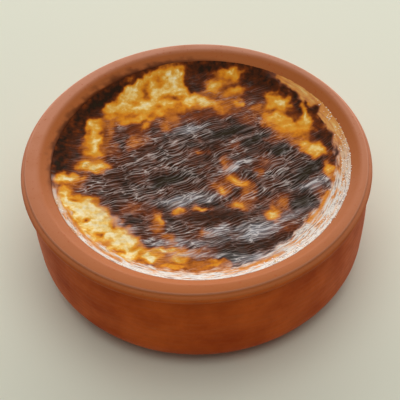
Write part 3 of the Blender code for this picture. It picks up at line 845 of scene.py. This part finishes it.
def skin_marks(x, y, turn, at_wall, from_wall):
    """How far the skin is baked at each point, and its shares of dried crust, shine and milk fat.

    Lengths are in millimetres: x and y from the dish's middle, and the distance from the wall.
    """
    done, crusted = baked(x, y)
    astray = (x + ground(x, y, (1.8, 4.0, 31)), y + ground(x, y, (1.2, 4.0, 32)))
    # The smooth patches lose their dried crests; under the char spots they are partly painted shade.
    smooth = on_spots(*astray, SMOOTH_SHADED, 1.8)
    shine = on_spots(*astray, SHINES, 1.8) * (1.0 - smooth)
    crusted = crusted * (1.0 - 0.8 * on_spots(*astray, BARES, 2.0))
    dried = crusted * (0.3 + 0.7 * smoothstep(0.42, 0.78, done)) * (1.0 - 0.82 * smooth) * (1.0 - at_wall)
    # The ring of fat is widest in front on the right and open at the back left. Burnt patches reach into it.
    inward = from_wall + ground(x, y, (0.9, 3.5, 15), (0.4, 1.5, 16))
    bulge = smoothstep(0.84, 1.0, towards(turn, RING_BULGE))
    width = RING_WIDTH + 2.4 * towards(turn, RING_WIDEST) + 2.6 * bulge
    strands = 1.5 * hills(turn * 10.0, inward / 0.8, 1.0, 19) * smoothstep(0.3, 0.7, inward / width)
    off_opening = np.abs((turn - math.radians(RING_OPENING) + math.pi) % math.tau - math.pi)
    burnt_in = on_spots(*astray, RING_BURNS, 1.0)
    ring = 1.0 - smoothstep(width - RING_SOFTNESS, width, inward + strands)
    ring = ring * smoothstep(1.03, 1.33, off_opening) * (1.0 - burnt_in)
    done = mix(done, BROWN + 0.04, burnt_in)
    strayed = y + ground(x, y, (0.5, 2.4, 33))
    for thickness, corners in RING_GAPS:
        gap = on_streak(x, strayed, thickness, corners, 0.6, 0.6)
        ring = ring * (1.0 - 0.9 * gap)
        done = mix(done, AMBER + 0.05, gap)
    # The fat's white is laid most in front: partly real fat, partly painted reflection.
    fat_and_glint = ring * (0.12 + 0.88 * smoothstep(-0.25, 0.5, towards(turn, RING_MOST_FAT_AND_GLINT)))
    # A white line lies against the wall in front, whole on the right and broken on the left:
    # partly clean fat, partly a painted reflection of the light behind.
    along_wall = hills(turn * 8.0, 0.0 * turn, 1.0, 20)
    whole = smoothstep(-0.35, 0.15, along_wall + 0.5 * towards(turn, -55.0))
    in_front = smoothstep(-0.3, 0.35, towards(turn, -85.0))
    off_line = smoothstep(0.0, FAT_LINE_SOFTNESS, from_wall + 0.5 * along_wall - FAT_LINE_WIDTH)
    fat_and_glint_line = np.maximum(0.9 * whole * in_front * (1.0 - off_line), 0.1 * ring)
    # Where no fat has come out, the skin's edge is a thinner, rusty film, flecked like the burnt band.
    film = (1.0 - ring) * (1.0 - smoothstep(0.3, 2.4, inward))
    flecks = ground(x, y, (0.12, 2.2, 17), (0.08, 1.0, 18))
    done = mix(done, 0.7, 0.7 * film) + 0.8 * (1.0 - ring) * at_wall * flecks
    return {
        "baked": done, "dried": dried, "shine": shine, "ring": ring, "fat_and_glint": fat_and_glint, "fat_and_glint_line": fat_and_glint_line}


def skin_surface(settings):
    """The skin's points, the direction and edge height of each, and their marks and runs."""
    line = np.linspace(-1.0, 1.0, settings.cells + 1)
    disc_x, disc_y = to_disc(*(part.ravel() for part in np.meshgrid(line, line)))
    turn = np.arctan2(disc_y, disc_x)
    edge, edge_radius = skin_edge(turn)
    reach = np.hypot(disc_x, disc_y) * edge_radius
    x, y = reach * np.cos(turn), reach * np.sin(turn)
    climb = climb_at(reach, edge_radius)
    z = mix(DISH_HEIGHT - MIDDLE_DROP, edge, climb) + RELIEF_SHARE * broad_relief(x, y) * (1.0 - climb)
    x_mm, y_mm = (x + INSIDE_SHIFT[0]) / MM, (y + INSIDE_SHIFT[1]) / MM
    at_wall = smoothstep(*WALL_BAND, reach / MM)
    marks = skin_marks(x_mm, y_mm, turn, at_wall, (edge_radius - reach) / MM)
    runs = {
        "run": run_of_wrinkles(x_mm, y_mm, *RUN),
        "cross_run": run_of_wrinkles(x_mm, y_mm, *CROSS_RUN),
        "rim_run": (turn * RING_RADIUS, reach / MM),
    }
    # Wrinkles where the skin has dried, curds where it is soft, and a grain along the wall
    spacing = settings.wrinkle_spacing / MM
    cross_net = 0.7 * crests(runs["cross_run"], 1.5 * spacing, 21)
    net = np.maximum(crests(runs["run"], 1.2 * spacing, 11), cross_net)
    soft = 1.0 - smoothstep(0.25, 0.6, marks["baked"])
    curds = ground(x_mm, y_mm, (0.6, 2.6, 81), (0.4, 1.2, 82))
    fine = marks["dried"] * 0.5 * settings.wrinkle_height * (net - NET_MIDDLE)
    fine = fine + soft * settings.curd_height * curds
    fine = fine + at_wall * ground(x_mm, y_mm, (GRAIN_HEIGHT, 0.9, 83))
    z = z + (1.0 - climb**4) * fine
    return np.stack([x, y, z], 1), turn, edge, marks, runs


def side_rings(border_edge):
    """Radii and heights of the rings under the skin's border, down the wall and in over the dish's floor."""
    radii, heights = moved_inwards(-SIDE_OVERLAP).T
    fixed = DISH_HEIGHT - SIDE_FIXED_DROP
    low = moved_inwards(CLEARANCE)
    low = low[(low[:, 1] < fixed - 1.0 * MM) & (low[:, 0] > 0)]
    levels = [mix(border_edge, fixed, share) for share in (0.33, 0.66, 1.0)]
    return [(np.interp(level, heights, radii), level) for level in levels] + low[::2][::-1].tolist()


def pudding_mesh(settings):
    """The set pudding as one closed mesh: skin, side and underside, with the marks of its skin."""
    skin, turn, edge, marks, runs = skin_surface(settings)
    rows = settings.cells + 1
    index = np.arange(rows * rows).reshape(rows, rows)
    quads = np.stack([index[:-1, :-1], index[:-1, 1:], index[1:, 1:], index[1:, :-1]], -1).reshape(-1, 4)
    border = np.concatenate([index[0, :-1], index[:-1, -1], index[-1, :0:-1], index[:0:-1, 0]])
    points = [skin]
    cos, sin = np.cos(turn[border]), np.sin(turn[border])
    for radius, height in side_rings(edge[border]):
        points.append(np.stack([radius * cos, radius * sin, height + 0.0 * cos], 1))
    below_skin = np.arange(len(skin), sum(len(part) for part in points)).reshape(-1, len(border))
    loops = np.concatenate([border[None], below_skin])
    after = np.roll(loops, -1, 1)
    sides = np.stack([loops[:-1], loops[1:], after[1:], after[:-1]], -1).reshape(-1, 4)
    middle = below_skin[-1, -1] + 1
    underside = [(start, middle, end) for start, end in zip(loops[-1], after[-1])]
    points.append([[0.0, 0.0, FLOOR_THICKNESS + CLEARANCE]])
    vertices = np.concatenate(points) + (*INSIDE_SHIFT, 0.0)
    mesh = bpy.data.meshes.new("rice_pudding")
    mesh.from_pydata(vertices.tolist(), [], quads.tolist() + sides.tolist() + underside)
    hidden = len(vertices) - len(skin)
    for key, values in marks.items():
        store(mesh, key, np.append(values, np.full(hidden, HIDDEN if key == "baked" else 0.0)))
    for key, (along, across) in runs.items():
        store(mesh, key, np.pad(np.stack([along, across, 0.0 * along], 1), ((0, hidden), (0, 0))))
    mesh.shade_smooth()
    return mesh


def wrinkle_net(tree, position, run, spacing):
    """The net of wrinkles: crests between long narrow cells that lie along the skin's two runs."""
    depth = add(tree, "ShaderNodeSeparateXYZ", {0: position}).outputs["Y"]
    in_front = add(tree, "ShaderNodeMapRange", {
        "Value": depth, "From Min": -14.0 * MM, "From Max": -26.0 * MM})
    lines = []
    for name, offset, at_back, at_front in (("run", 0.0, 1.0, 0.35), ("cross_run", 80.0, 0.35, 1.0)):
        bend = add(tree, "ShaderNodeTexNoise", {
            "Vector": run[name], "Scale": 1.5 * MM / spacing, "Detail": 1.0}, noise_dimensions="2D")
        bent = add(tree, "ShaderNodeVectorMath", {
            0: bend.outputs["Color"], 1: (1.2, 0.2, 0.0), 2: run[name]}, operation="MULTIPLY_ADD")
        moved = add(tree, "ShaderNodeVectorMath", {0: bent, 1: (offset, offset, 0.0)}, operation="ADD")
        cell = add(tree, "ShaderNodeTexVoronoi", {
            "Vector": moved, "Scale": MM / spacing, "Randomness": 0.85,
        }, voronoi_dimensions="2D", feature="DISTANCE_TO_EDGE")
        strength = add(tree, "ShaderNodeMapRange", {
            "Value": in_front, "To Min": at_back, "To Max": at_front})
        lines.append(add(tree, "ShaderNodeMapRange", {
            "Value": cell, "From Max": 0.3, "To Min": strength, "To Max": 0.0}))
    return add(tree, "ShaderNodeMath", dict(enumerate(lines)), operation="MAXIMUM")


def browned_milk_skin(settings):
    """The skin of a baked milk pudding: milk protein dried and browned in the oven's top heat.

    The eye sees set cream, then gold, caramel and char as the heat went on, a wet gloss where fat has come
    out, and pale dry crests on the wrinkles of the burnt part. Glints on the crests, a cool sheen, the
    whitest fat in front and the darkest smooth patches are partly painted light and shade.
    """
    material, tree, position = new_material("browned_milk_skin")
    mark = {name: add(tree, "ShaderNodeAttribute", attribute_name=name).outputs["Fac"]
            for name in ("baked", "dried", "shine", "ring", "fat_and_glint", "fat_and_glint_line")}
    run = {name: add(tree, "ShaderNodeAttribute", attribute_name=name).outputs["Vector"]
           for name in ("run", "cross_run", "rim_run")}
    net = wrinkle_net(tree, position, run, settings.wrinkle_spacing)
    # Along the wall the fat has come out: cream, caramel and clear streaks that follow the wall round.
    # The cream is laid heaviest in front, partly as painted reflection.
    long_way = add(tree, "ShaderNodeMapping", {"Vector": run["rim_run"], "Scale": (0.13, 1.0, 1.0)})
    noise = {}
    for name, dimensions, vector, scale, detail, roughness, distortion in (
            ("clumps", "2D", run["run"], 1 / 2.6, 3.0, 0.6, 0.0),
            ("mottle", "3D", position, 1 / (2.0 * MM), 5.0, 0.62, 0.0),
            ("fine", "3D", position, 1 / (0.7 * MM), 3.0, 0.6, 0.0),
            ("streaks", "3D", long_way, 1.1, 2.0, 0.5, 0.7),
            ("threads", "3D", long_way, 2.3, 1.0, 0.5, 0.7)):
        noise[name] = add(tree, "ShaderNodeTexNoise", {
            "Vector": vector, "Scale": scale, "Detail": detail, "Roughness": roughness,
            "Distortion": distortion}, noise_dimensions=dimensions)
    share = {}
    for name, source, low, high, least, most in (
            ("clump", noise["clumps"], 0.34, 0.66, 0.35, 1.0),
            ("painted_sheen", noise["clumps"], 0.3, 0.6, 0.0, 0.42),
            ("deepest", mark["fat_and_glint"], 0.45, 1.0, 0.40, 0.38),
            ("thread", noise["threads"], 0.56, 0.66, 0.0, 0.7),
            ("fat", noise["streaks"], 0.64, 0.48, 0.0, 0.95)):
        share[name] = add(tree, "ShaderNodeMapRange", {
            "Value": source, "From Min": low, "From Max": high, "To Min": least, "To Max": most})
    # Where the skin shines, the glints on its crests are painted stronger and a cool sheen is painted over
    # it.
    for name, operation, *values in (
            ("patchy_net", "MULTIPLY", net, share["clump"]),
            ("uneven", "MULTIPLY_ADD", noise["mottle"], 0.34, -0.17),
            ("sheen_boost", "MULTIPLY_ADD", mark["shine"], 2.6, 1.0),
            ("gloss", "MULTIPLY", mark["shine"], 0.35),
            ("painted_sheen_share", "MULTIPLY", mark["shine"], share["painted_sheen"]),
            ("fatty_thread", "MULTIPLY", share["thread"], mark["fat_and_glint"]),
            ("streaky_fat_and_glint", "MULTIPLY", share["fat"], mark["fat_and_glint"]),
            ("ring_height", "MULTIPLY", noise["streaks"], mark["ring"])):
        share[name] = add(tree, "ShaderNodeMath", dict(enumerate(values)), operation=operation)
    dry_net = add(tree, "ShaderNodeMath", {0: share["patchy_net"], 1: mark["dried"]}, operation="MULTIPLY")
    lighter = add(tree, "ShaderNodeMath", {0: dry_net, 1: -0.2, 2: share["uneven"]},
                  operation="MULTIPLY_ADD")
    stage = add(tree, "ShaderNodeMath", {0: mark["baked"], 1: lighter}, operation="ADD")
    streak_stage = add(tree, "ShaderNodeMapRange", {
        "Value": noise["streaks"], "From Min": 0.34, "From Max": 0.7, "To Min": 0.13,
        "To Max": share["deepest"]})
    ringed = add(tree, "ShaderNodeMix", {"Factor": mark["ring"], 2: stage, 3: streak_stage},
                 data_type="FLOAT")
    fat_and_glint_share = add(tree, "ShaderNodeMath", {0: share["streaky_fat_and_glint"], 1: mark["fat_and_glint_line"]},
                    operation="MAXIMUM")
    # The crests' pale colour is partly dried skin and partly painted glint.
    sharp_net = add(tree, "ShaderNodeMath", {0: share["patchy_net"], 1: 2.4}, operation="POWER")
    burnt_net = add(tree, "ShaderNodeMath", {0: sharp_net, 1: mark["dried"]}, operation="MULTIPLY")
    ash_and_glint_share = add(tree, "ShaderNodeMath", {0: burnt_net, 1: share["sheen_boost"]}, operation="MULTIPLY",
                    use_clamp=True)
    ramp = add(tree, "ShaderNodeValToRGB", {"Fac": ringed})
    elements = ramp.color_ramp.elements
    elements.remove(elements[1])
    elements[0].position, elements[0].color = CREAM, (*settings.cream, 1.0)
    for place, tint in (
            (PALE, settings.pale), (GOLD, settings.gold), (AMBER, settings.amber), (ORANGE, settings.orange),
            (RUST, settings.rust), (BROWN, settings.brown), (DARK, settings.dark), (CHAR, settings.char)):
        elements.new(place).color = (*tint, 1.0)
    # Milk fat, partly painted reflection, and caramel threads in the ring; pale dry crests with painted
    # glints on the wrinkles; and a cool painted sheen where it shines
    skin = ramp
    for tint_share, tint in (
            (fat_and_glint_share, settings.milk_fat), (share["fatty_thread"], settings.rust),
            (ash_and_glint_share, settings.crest_ash_and_glint), (share["painted_sheen_share"], settings.sheen)):
        skin = add(tree, "ShaderNodeMix", {"Factor": tint_share, 6: skin, 7: tint}, data_type="RGBA")
    under = {}
    for strength, height, pattern in (
            (0.5, 0.10 * MM, noise["fine"]), (0.5, 0.25 * MM, noise["mottle"]),
            (0.5, 0.35 * MM, share["ring_height"]), (1.0, settings.wrinkle_height, dry_net)):
        under["Normal"] = add(tree, "ShaderNodeBump", {
            "Strength": strength, "Distance": height, "Height": pattern, **under})
    wet = add(tree, "ShaderNodeMapRange", {
        "Value": mark["ring"], "To Min": share["gloss"], "To Max": 0.3})
    fill(tree, tree.nodes["Principled BSDF"], {
        "Base Color": skin, "Roughness": 0.6, "IOR": 1.4, "Specular IOR Level": 0.03,
        "Coat Weight": wet, "Coat Roughness": 0.28, "Coat IOR": 1.45, "Normal": under["Normal"]})
    return material


class OBJECT_OT_rice_pudding(bpy.types.Operator):
    """Make the set pudding with its browned skin."""

    bl_idname = "object.rice_pudding"
    bl_label = "Rice Pudding"

    def execute(self, context):
        settings = context.scene.pudding_settings
        mesh = pudding_mesh(settings)
        mesh.materials.append(browned_milk_skin(settings))
        pudding = bpy.data.objects.new("rice_pudding", mesh)
        context.scene.collection.objects.link(pudding)
        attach(pudding, "root")
        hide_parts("pudding")
        return {"FINISHED"}


# The specks of milk fat ---------------------------------------------------------------------------------


def speck_strip(reach_in):
    """The ring of skin along the wall as a strip of faces, with how thickly the specks lie on it."""
    turn, inward = np.meshgrid(np.linspace(0.0, math.tau, 361)[:-1], np.linspace(0.0, reach_in, 7))
    edge, edge_radius = skin_edge(turn)
    reach = edge_radius - inward
    z = mix(DISH_HEIGHT - MIDDLE_DROP, edge, climb_at(reach, edge_radius))
    places = np.stack([reach * np.cos(turn), reach * np.sin(turn), z], -1) + (*INSIDE_SHIFT, 0.0)
    index = np.arange(turn.size).reshape(turn.shape)
    after = np.roll(index, -1, 1)
    faces = np.stack([index[:-1], index[1:], after[1:], after[:-1]], -1).reshape(-1, 4)
    mesh = bpy.data.meshes.new("speck_strip")
    mesh.from_pydata(places.reshape(-1, 3).tolist(), [], faces.tolist())
    right = smoothstep(0.42, 0.9, towards(turn, -24.0))
    left = 0.3 * smoothstep(0.8, 0.97, towards(turn, 218.0))
    outer = 1.0 - smoothstep(0.35, 1.0, inward / reach_in * (1.6 - right))
    clumps = smoothstep(-0.35, 0.25, hills(turn * 14.0, inward / MM, 1.0, 61))
    store(mesh, "density", (np.maximum(right, left) * outer * clumps).ravel())
    return mesh


def scattered_beads(tree, given):
    """Scatter flattened beads of fat over the strip, as thickly as its density says."""
    density = add(tree, "GeometryNodeInputNamedAttribute", {"Name": "density"}, data_type="FLOAT")
    places = add(tree, "GeometryNodeDistributePointsOnFaces", {
        "Mesh": given["Geometry"], "Distance Min": given["Spacing"],
        "Density Max": given["Most Per Square Metre"], "Density Factor": density, "Seed": given["Seed"],
    }, distribute_method="POISSON")
    bead = add(tree, "GeometryNodeMeshUVSphere", {"Segments": 8, "Rings": 5, "Radius": given["Radius"]})
    drawn = {}
    for name, least, most in (
            ("Rotation", (-0.4, -0.4, 0.0), (0.4, 0.4, math.tau)),
            ("Scale", (0.45, 0.45, 0.25), (1.5, 1.1, 0.6))):
        drawn[name] = add(tree, "FunctionNodeRandomValue", {0: least, 1: most, "Seed": given["Seed"]},
                          data_type="FLOAT_VECTOR")
    return add(tree, "GeometryNodeInstanceOnPoints", {"Points": places, "Instance": bead, **drawn})


def milk_fat(settings):
    """Butterfat and dried milk that bubbled up along the hot clay: soft cream beads with a wet gloss.

    The eye sees whitish specks, some yellower than others.
    """
    material, tree, position = new_material("milk_fat")
    clouds = add(tree, "ShaderNodeTexNoise", {"Vector": position, "Scale": 1 / (1.6 * MM), "Detail": 2.0})
    share = add(tree, "ShaderNodeMapRange", {"Value": clouds, "From Min": 0.42, "From Max": 0.66})
    fat = add(tree, "ShaderNodeMix", {"Factor": share, 6: settings.cream, 7: settings.butter},
              data_type="RGBA")
    fill(tree, tree.nodes["Principled BSDF"], {"Base Color": fat, "Roughness": 0.35, "IOR": 1.45})
    return material


class OBJECT_OT_milk_specks(bpy.types.Operator):
    """Scatter the specks of milk fat along the wall."""

    bl_idname = "object.milk_specks"
    bl_label = "Milk Specks"

    def execute(self, context):
        settings = context.scene.speck_settings
        specks = bpy.data.objects.new("milk_specks", speck_strip(settings.reach))
        context.scene.collection.objects.link(specks)
        run_nodes(specks, scattered_beads, {
            "Most Per Square Metre": settings.density,
            "Spacing": settings.spacing,
            "Radius": settings.radius,
            "Seed": settings.seed,
            "Material": milk_fat(settings),
        })
        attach(specks, "root")
        return {"FINISHED"}


# The stage ----------------------------------------------------------------------------------------------

CAMERA_DISTANCE = 0.549
CAMERA_ELEVATION = 46.3853
CAMERA_ROLL = 2.5304
CAMERA_LENS_PIXELS = 1545.8868
PICTURE_SIZE = 400
RIM_MIDDLE_PIXEL = (195.9973, 159.7824)
SENSOR_WIDTH = 36.0
FLOOR_REACH = 4.0
LIT_PLACE = Vector((0.0, 0.0, 0.03))


def make_camera(scene):
    """The camera, aimed so that the middle of the rim falls on its own place in the picture."""
    data = bpy.data.cameras.new("camera")
    data.sensor_width = SENSOR_WIDTH
    data.lens = CAMERA_LENS_PIXELS / PICTURE_SIZE * SENSOR_WIDTH
    data.clip_start, data.clip_end = 0.01, 20.0
    camera = bpy.data.objects.new("camera", data)
    scene.collection.objects.link(camera)
    rim_middle = Vector((0.0, 0.0, DISH_HEIGHT))
    elevation = math.radians(CAMERA_ELEVATION)
    camera.location = rim_middle + CAMERA_DISTANCE * Vector((0.0, -math.cos(elevation), math.sin(elevation)))
    to_rim = (rim_middle - camera.location).normalized()
    right = (RIM_MIDDLE_PIXEL[0] - PICTURE_SIZE / 2) / CAMERA_LENS_PIXELS
    up = (PICTURE_SIZE / 2 - RIM_MIDDLE_PIXEL[1]) / CAMERA_LENS_PIXELS
    roll = Quaternion((0.0, 0.0, 1.0), math.radians(-CAMERA_ROLL))
    before_roll = roll @ Vector((right, up, -1.0))
    aim = before_roll.rotation_difference(Vector((0.0, 0.0, -1.0)))
    camera.rotation_mode = "QUATERNION"
    camera.rotation_quaternion = to_rim.to_track_quat("-Z", "Y") @ aim @ roll
    scene.camera = camera


def softbox(scene, name, place, size, power, tint):
    """A rectangular studio light that isn't seen itself, turned to the dish."""
    data = bpy.data.lights.new(name, "AREA")
    data.shape = "RECTANGLE"
    data.size, data.size_y = size
    data.energy = power
    data.color = tint
    light = bpy.data.objects.new(name, data)
    light.location = place
    light.rotation_mode = "QUATERNION"
    light.rotation_quaternion = (LIT_PLACE - light.location).to_track_quat("-Z", "Y")
    light.visible_camera = False
    scene.collection.objects.link(light)


def painted_board(settings):
    """A pale painted board: matt, with the faint unevenness of a roller."""
    material, tree, position = new_material("painted_board")
    clouds = add(tree, "ShaderNodeTexNoise", {"Vector": position, "Scale": 1 / (200.0 * MM), "Detail": 2.0})
    darker = [0.96 * part for part in settings.floor]
    paint = add(tree, "ShaderNodeMix", {"Factor": clouds, 6: settings.floor, 7: darker}, data_type="RGBA")
    fill(tree, tree.nodes["Principled BSDF"], {"Base Color": paint, "Roughness": 0.75})
    return material


class OBJECT_OT_studio_stage(bpy.types.Operator):
    """Set the floor, the lights and the camera."""

    bl_idname = "object.studio_stage"
    bl_label = "Studio Stage"

    def execute(self, context):
        scene = context.scene
        settings = scene.stage_settings
        mesh = bpy.data.meshes.new("floor")
        corners = [(FLOOR_REACH * x, FLOOR_REACH * y, 0.0) for x, y in ((-1, -1), (1, -1), (1, 1), (-1, 1))]
        mesh.from_pydata(corners, [], [(0, 1, 2, 3)])
        mesh.materials.append(painted_board(settings))
        floor = bpy.data.objects.new("floor", mesh)
        scene.collection.objects.link(floor)
        for name, place, size, power, tint in (
                ("back_softbox", (0.10, 0.98, 0.22), (2.4, 0.30), settings.back_light, (1.0, 1.0, 1.0)),
                ("high_softbox", (-0.02, 0.75, 0.72), (1.2, 0.7), settings.high_light, (1.0, 0.98, 0.95)),
                ("top_softbox", (0.02, -0.15, 0.82), (0.7, 0.7), settings.top_light, (1.0, 1.0, 1.0))):
            softbox(scene, name, place, size, power, tint)
        world = bpy.data.worlds.new("studio")
        world.use_nodes = True
        tree = world.node_tree
        fill(tree, tree.nodes["Background"], {"Color": (1.0, 0.99, 0.97), "Strength": 0.2})
        scene.world = world
        scene.view_settings.view_transform = "Standard"
        make_camera(scene)
        return {"FINISHED"}


class VIEW3D_PT_pudding(bpy.types.Panel):
    """Buttons and settings of the baked rice pudding."""

    bl_label = "Baked Rice Pudding"
    bl_idname = "VIEW3D_PT_pudding"
    bl_space_type = "VIEW_3D"
    bl_region_type = "UI"
    bl_category = "Pudding"

    def draw(self, context):
        for operator, group in PIECES:
            box = self.layout.box()
            settings = getattr(context.scene, group)
            for name in settings.__annotations__:
                box.prop(settings, name)
            box.operator(operator)


SETTINGS = {
    "dish_settings": DishSettings,
    "pudding_settings": PuddingSettings,
    "speck_settings": SpeckSettings,
    "stage_settings": StageSettings,
}
PIECES = (
    ("object.clay_dish", "dish_settings"),
    ("object.rice_pudding", "pudding_settings"),
    ("object.milk_specks", "speck_settings"),
    ("object.studio_stage", "stage_settings"),
)
CLASSES = (*SETTINGS.values(), OBJECT_OT_clay_dish, OBJECT_OT_rice_pudding, OBJECT_OT_milk_specks,
           OBJECT_OT_studio_stage, VIEW3D_PT_pudding)


def register():
    """Add the classes and the scene's settings."""
    for item in CLASSES:
        bpy.utils.register_class(item)
    for name, group in SETTINGS.items():
        setattr(bpy.types.Scene, name, bpy.props.PointerProperty(type=group))


def unregister():
    """Take the settings and the classes away again."""
    for name in SETTINGS:
        delattr(bpy.types.Scene, name)
    for item in reversed(CLASSES):
        bpy.utils.unregister_class(item)


def main():
    """Build every piece and the stage."""
    register()
    bpy.ops.object.clay_dish()
    bpy.ops.object.rice_pudding()
    bpy.ops.object.milk_specks()
    bpy.ops.object.studio_stage()


if __name__ == "__main__":
    main()
